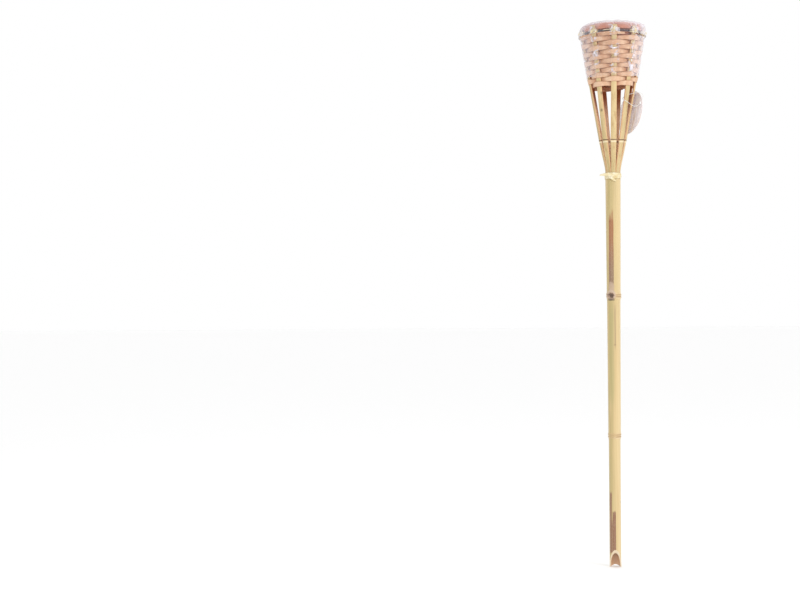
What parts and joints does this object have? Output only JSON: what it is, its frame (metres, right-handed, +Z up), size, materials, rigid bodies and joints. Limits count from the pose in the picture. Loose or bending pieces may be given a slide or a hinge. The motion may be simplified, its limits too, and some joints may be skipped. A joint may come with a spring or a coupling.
{
  "type": "tiki torch",
  "caption": "Bamboo garden torch: a split culm spread into a woven basket that holds a candle in a terracotta pot, with film cover and paper tag.",
  "frame": {"origin": "centre of the culm's foot, on the axis, at the lowest point", "axes": "+Z up along the culm, -Y the front, where the foot is pared and one stave faces the viewer, +X to the right, where the tag hangs"},
  "size_m": [0.1088, 0.1088, 0.8693],
  "materials": {
    "bamboo": "satin, waxy bamboo skin with brown heat stains",
    "rattan": "matte split cane",
    "raffia": "matte fibrous strand",
    "wire": "dull grey steel wire",
    "terracotta": "matte unglazed clay",
    "wax": "satin candle wax",
    "cotton": "braided cotton",
    "tin": "thin tinplate",
    "clear_film": "clear glossy shrink film",
    "card": "matte coated card",
    "thread": "thin white cotton thread"
  },
  "bodies": {
    "torch": {"pole": "bamboo", "stave_1": "bamboo", "stave_2": "bamboo", "stave_3": "bamboo", "stave_4": "bamboo", "stave_5": "bamboo", "stave_6": "bamboo", "stave_7": "bamboo", "stave_8": "bamboo", "stave_9": "bamboo", "woven_basket": "rattan", "rim_hoop": "wire", "rim_tie_1": "raffia", "rim_tie_2": "raffia", "rim_tie_3": "raffia", "rim_tie_4": "raffia", "rim_tie_5": "raffia", "rim_tie_6": "raffia", "rim_tie_7": "raffia", "rim_tie_8": "raffia", "rim_tie_9": "raffia", "neck_tie": "raffia", "film_sleeve": "clear_film", "tag_thread": "thread"},
    "candle_pot": {"pot": "terracotta", "wax": "wax", "wick": "cotton", "wick_sustainer": "tin"},
    "film_cover": {"film_cap": "clear_film"},
    "tag": {"hang_tag": "card"}
  },
  "joints": [
    {"name": "candle_lift", "type": "slide", "parent": "torch", "child": "candle_pot", "axis": [0, 0, 1], "range_m": [0, 0.11]},
    {"name": "film_cap_lift", "type": "slide", "parent": "candle_pot", "child": "film_cover", "axis": [0, 0, 1], "range_m": [0, 0.04]},
    {"name": "tag_swing", "type": "hinge", "parent": "torch", "child": "tag", "pos_m": [0.04291, -0.01373, 0.7401], "axis": [-0.8997, -0.4006, 0.1733], "range_deg": [0, 60]}
  ]
}
